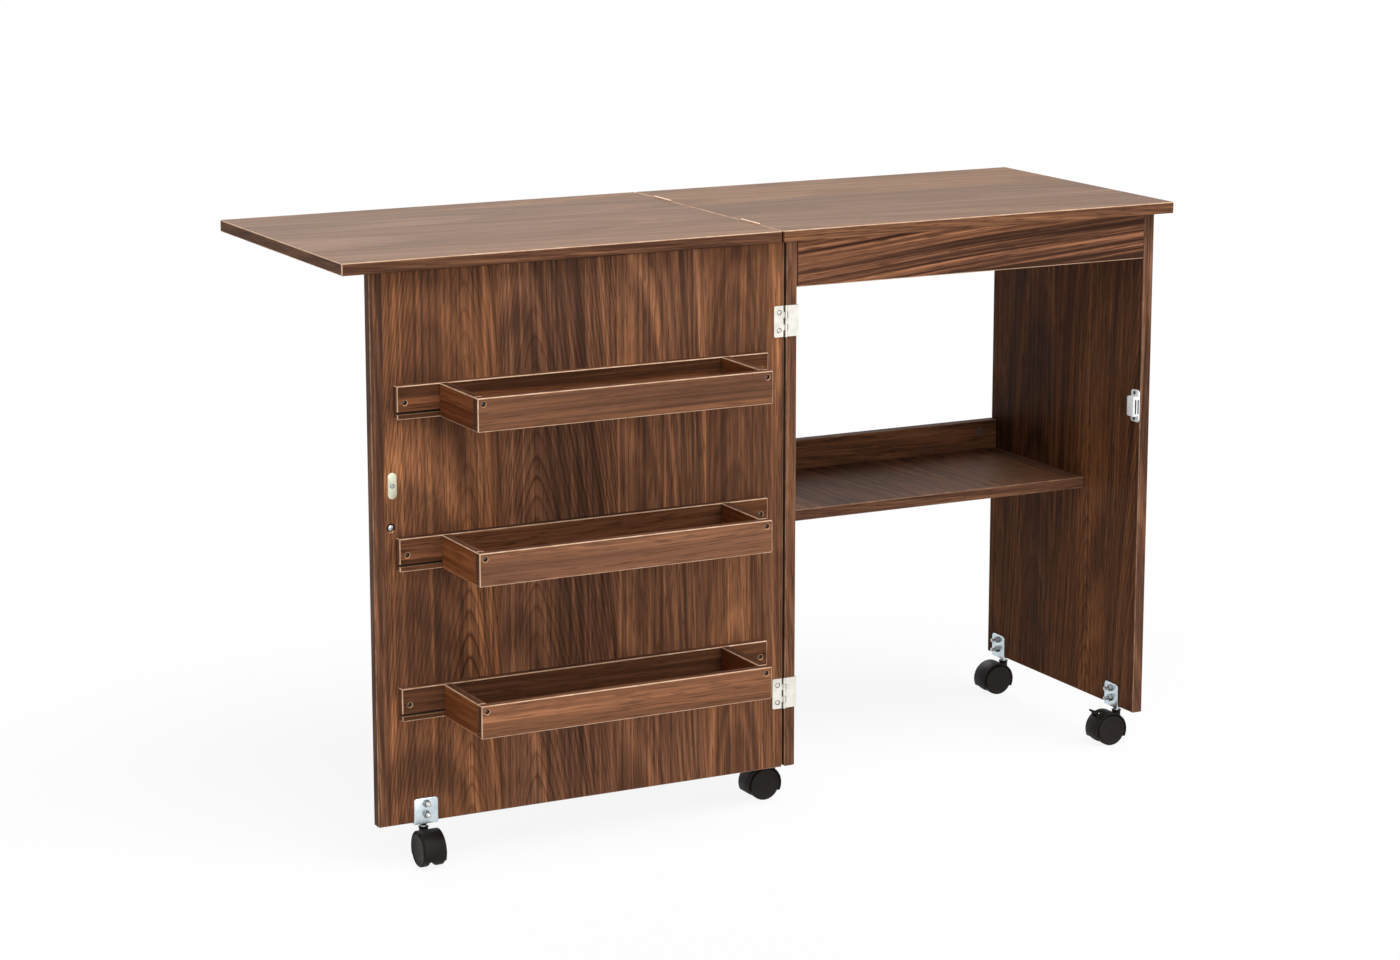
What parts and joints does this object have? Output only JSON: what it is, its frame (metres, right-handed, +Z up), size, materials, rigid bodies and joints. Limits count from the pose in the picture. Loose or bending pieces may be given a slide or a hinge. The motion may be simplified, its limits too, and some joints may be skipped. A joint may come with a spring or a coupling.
{
  "type": "sewing cabinet",
  "caption": "Wood sewing cabinet on casters with a fold-over worktop leaf, a shelf, and a hinged door that supports the open leaf and carries storage bins.",
  "frame": {"origin": "centre of the open cabinet's box, on the floor under the casters", "axes": "+X along the worktop from the leaf to the main top, +Y from the open front to the back, +Z up"},
  "size_m": [1.18, 0.524, 0.759],
  "materials": {
    "walnut": "satin walnut laminate",
    "walnut_top": "satin walnut laminate, grain along the length",
    "nickel": "satin nickel plate",
    "zinc": "bright zinc plate",
    "white_plastic": "moulded",
    "steel": "bare steel pole plates",
    "brass": "aged",
    "black_plastic": "moulded nylon",
    "grey_plastic": "moulded nylon"
  },
  "bodies": {
    "carcass": {"main_top": "walnut_top", "left_side_panel": "walnut", "right_side_panel": "walnut", "front_rail": "walnut", "rear_rail": "walnut", "shelf": "walnut", "shelf_back_rail": "walnut", "front_leaf_hinge_main_plate": "brass", "front_leaf_hinge_pin": "brass", "rear_leaf_hinge_main_plate": "brass", "rear_leaf_hinge_pin": "brass", "upper_hinge_carcass_strap": "nickel", "upper_hinge_pin": "nickel", "lower_hinge_carcass_strap": "nickel", "lower_hinge_pin": "nickel", "magnetic_catch": "white_plastic", "catch_magnet": "steel", "left_front_caster_bracket": "zinc", "left_rear_caster_bracket": "zinc", "right_front_caster_bracket": "zinc", "right_rear_caster_bracket": "zinc"},
    "leaf": {"leaf_top": "walnut_top", "front_leaf_hinge_leaf_plate": "brass", "rear_leaf_hinge_leaf_plate": "brass"},
    "door": {"door_panel": "walnut", "upper_hinge_door_plate": "nickel", "lower_hinge_door_plate": "nickel", "door_knob": "nickel", "strike_plate": "nickel", "upper_bin_back_board": "walnut", "upper_bin_front_board": "walnut", "upper_bin_left_end": "walnut", "upper_bin_right_end": "walnut", "upper_bin_floor": "walnut", "middle_bin_back_board": "walnut", "middle_bin_front_board": "walnut", "middle_bin_left_end": "walnut", "middle_bin_right_end": "walnut", "middle_bin_floor": "walnut", "lower_bin_back_board": "walnut", "lower_bin_front_board": "walnut", "lower_bin_left_end": "walnut", "lower_bin_right_end": "walnut", "lower_bin_floor": "walnut", "door_caster_bracket": "zinc"},
    "door_caster": {"door_caster_hood": "black_plastic"},
    "door_wheels": {"door_caster_wheels": "grey_plastic"},
    "left_front_caster": {"left_front_caster_hood": "black_plastic"},
    "left_front_wheels": {"left_front_caster_wheels": "grey_plastic"},
    "left_front_brake": {"left_front_brake_lever": "black_plastic"},
    "left_rear_caster": {"left_rear_caster_hood": "black_plastic"},
    "left_rear_wheels": {"left_rear_caster_wheels": "grey_plastic"},
    "right_front_caster": {"right_front_caster_hood": "black_plastic"},
    "right_front_wheels": {"right_front_caster_wheels": "grey_plastic"},
    "right_front_brake": {"right_front_brake_lever": "black_plastic"},
    "right_rear_caster": {"right_rear_caster_hood": "black_plastic"},
    "right_rear_wheels": {"right_rear_caster_wheels": "grey_plastic"}
  },
  "joints": [
    {"name": "door_swing", "type": "hinge", "parent": "carcass", "child": "door", "pos_m": [0.01475, -0.138, 0.4], "axis": [0, 0, 1], "range_deg": [0, 180]},
    {"name": "leaf_fold", "type": "hinge", "parent": "carcass", "child": "leaf", "pos_m": [0, 0.053, 0.7574], "axis": [0, 1, 0], "range_deg": [0, 180]},
    {"name": "door_caster_swivel", "type": "hinge", "parent": "door", "child": "door_caster", "pos_m": [-0.4865, -0.1285, 0.05], "axis": [0, 0, 1], "continuous": true},
    {"name": "door_caster_roll", "type": "hinge", "parent": "door_caster", "child": "door_wheels", "pos_m": [-0.4865, -0.145, 0.021], "axis": [1, 0, 0], "continuous": true},
    {"name": "left_front_caster_swivel", "type": "hinge", "parent": "carcass", "child": "left_front_caster", "pos_m": [0.024, -0.086, 0.05], "axis": [0, 0, 1], "continuous": true},
    {"name": "left_front_caster_roll", "type": "hinge", "parent": "left_front_caster", "child": "left_front_wheels", "pos_m": [0.0075, -0.086, 0.021], "axis": [0, 1, 0], "continuous": true},
    {"name": "left_front_brake_press", "type": "hinge", "parent": "left_front_caster", "child": "left_front_brake", "pos_m": [-0.0081, -0.086, 0.04328], "axis": [0, -1, 0], "range_deg": [0, 25]},
    {"name": "left_rear_caster_swivel", "type": "hinge", "parent": "carcass", "child": "left_rear_caster", "pos_m": [0.024, 0.205, 0.05], "axis": [0, 0, 1], "continuous": true},
    {"name": "left_rear_caster_roll", "type": "hinge", "parent": "left_rear_caster", "child": "left_rear_wheels", "pos_m": [0.0075, 0.205, 0.021], "axis": [0, 1, 0], "continuous": true},
    {"name": "right_front_caster_swivel", "type": "hinge", "parent": "carcass", "child": "right_front_caster", "pos_m": [0.5657, -0.086, 0.05], "axis": [0, 0, 1], "continuous": true},
    {"name": "right_front_caster_roll", "type": "hinge", "parent": "right_front_caster", "child": "right_front_wheels", "pos_m": [0.5492, -0.086, 0.021], "axis": [0, 1, 0], "continuous": true},
    {"name": "right_front_brake_press", "type": "hinge", "parent": "right_front_caster", "child": "right_front_brake", "pos_m": [0.5336, -0.086, 0.04328], "axis": [0, -1, 0], "range_deg": [0, 25]},
    {"name": "right_rear_caster_swivel", "type": "hinge", "parent": "carcass", "child": "right_rear_caster", "pos_m": [0.5657, 0.205, 0.05], "axis": [0, 0, 1], "continuous": true},
    {"name": "right_rear_caster_roll", "type": "hinge", "parent": "right_rear_caster", "child": "right_rear_wheels", "pos_m": [0.5492, 0.205, 0.021], "axis": [0, 1, 0], "continuous": true}
  ]
}
